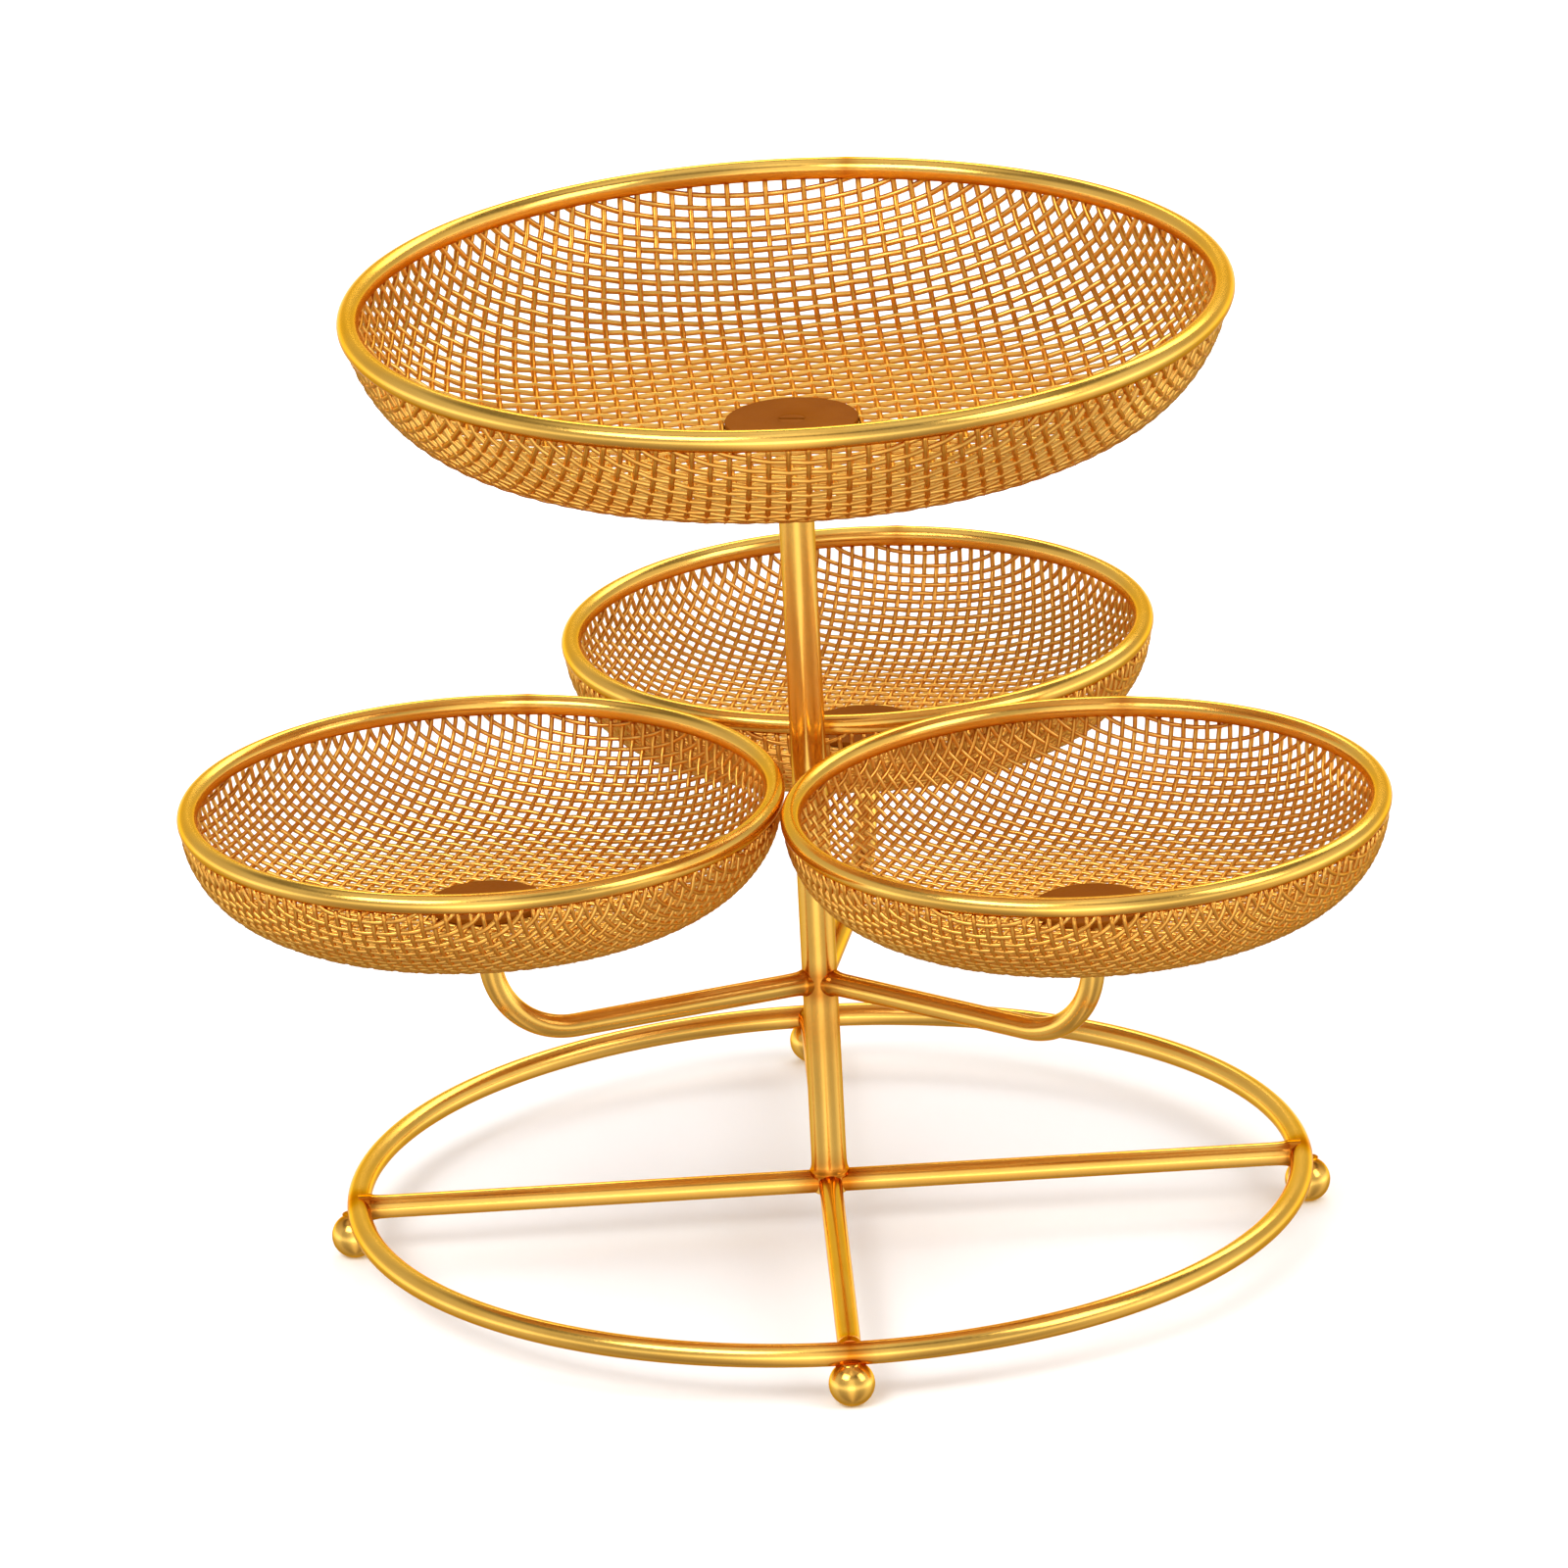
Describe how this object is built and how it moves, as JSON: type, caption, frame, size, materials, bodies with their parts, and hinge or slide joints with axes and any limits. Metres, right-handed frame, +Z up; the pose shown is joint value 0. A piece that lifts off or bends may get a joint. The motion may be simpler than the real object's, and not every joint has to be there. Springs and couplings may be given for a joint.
{
  "type": "tiered cake stand",
  "caption": "Two-level wire serving stand: one wide mesh bowl on a post above a ring of smaller mesh bowls on bent arms, on a round base with ball feet.",
  "frame": {"origin": "on the table, under the centre of the stand's bounding box", "axes": "+X along the stand's longest size, from the left small bowl to the right one; +Y from the front pair of small bowls to the back one; +Z up, along the post"},
  "size_m": [0.3048, 0.2893, 0.2505],
  "materials": {
    "frame_wire": "polished gold-coloured plating on steel wire",
    "rim_wire": "polished gold-coloured plating on steel wire",
    "ball_foot": "polished gold-coloured plating on steel balls",
    "woven_mesh": "gold-coloured plating on woven steel wire",
    "inner_plate": "satin plating, darker bronze-gold",
    "fastener": "polished gold-coloured plating"
  },
  "bodies": {
    "stand": {"base_ring": "frame_wire", "crossbar_front_back": "frame_wire", "crossbar_left": "frame_wire", "crossbar_right": "frame_wire", "foot_front": "ball_foot", "foot_right": "ball_foot", "foot_back": "ball_foot", "foot_left": "ball_foot", "post_tube": "frame_wire", "post_insert": "fastener", "arm_back": "frame_wire", "arm_left": "frame_wire", "arm_right": "frame_wire", "top_bowl_screw": "fastener", "back_bowl_screw": "fastener", "left_bowl_screw": "fastener", "right_bowl_screw": "fastener"},
    "top_bowl": {"top_bowl_rim": "rim_wire", "top_bowl_mesh_dish": "woven_mesh", "top_bowl_inner_plate": "inner_plate", "top_bowl_under_plate": "frame_wire"},
    "back_bowl": {"back_bowl_rim": "rim_wire", "back_bowl_mesh_dish": "woven_mesh", "back_bowl_inner_plate": "inner_plate", "back_bowl_under_plate": "frame_wire"},
    "left_bowl": {"left_bowl_rim": "rim_wire", "left_bowl_mesh_dish": "woven_mesh", "left_bowl_inner_plate": "inner_plate", "left_bowl_under_plate": "frame_wire"},
    "right_bowl": {"right_bowl_rim": "rim_wire", "right_bowl_mesh_dish": "woven_mesh", "right_bowl_inner_plate": "inner_plate", "right_bowl_under_plate": "frame_wire"}
  },
  "joints": [
    {"name": "top_bowl_turn", "type": "hinge", "parent": "stand", "child": "top_bowl", "pos_m": [0, -0.0196, 0.24794], "axis": [0, 0, 1], "continuous": true},
    {"name": "back_bowl_turn", "type": "hinge", "parent": "stand", "child": "back_bowl", "pos_m": [0, 0.06862, 0.13044], "axis": [0, 0, 1], "continuous": true},
    {"name": "left_bowl_turn", "type": "hinge", "parent": "stand", "child": "left_bowl", "pos_m": [-0.0764, -0.06371, 0.13044], "axis": [0, 0, 1], "continuous": true},
    {"name": "right_bowl_turn", "type": "hinge", "parent": "stand", "child": "right_bowl", "pos_m": [0.0764, -0.06371, 0.13044], "axis": [0, 0, 1], "continuous": true}
  ]
}
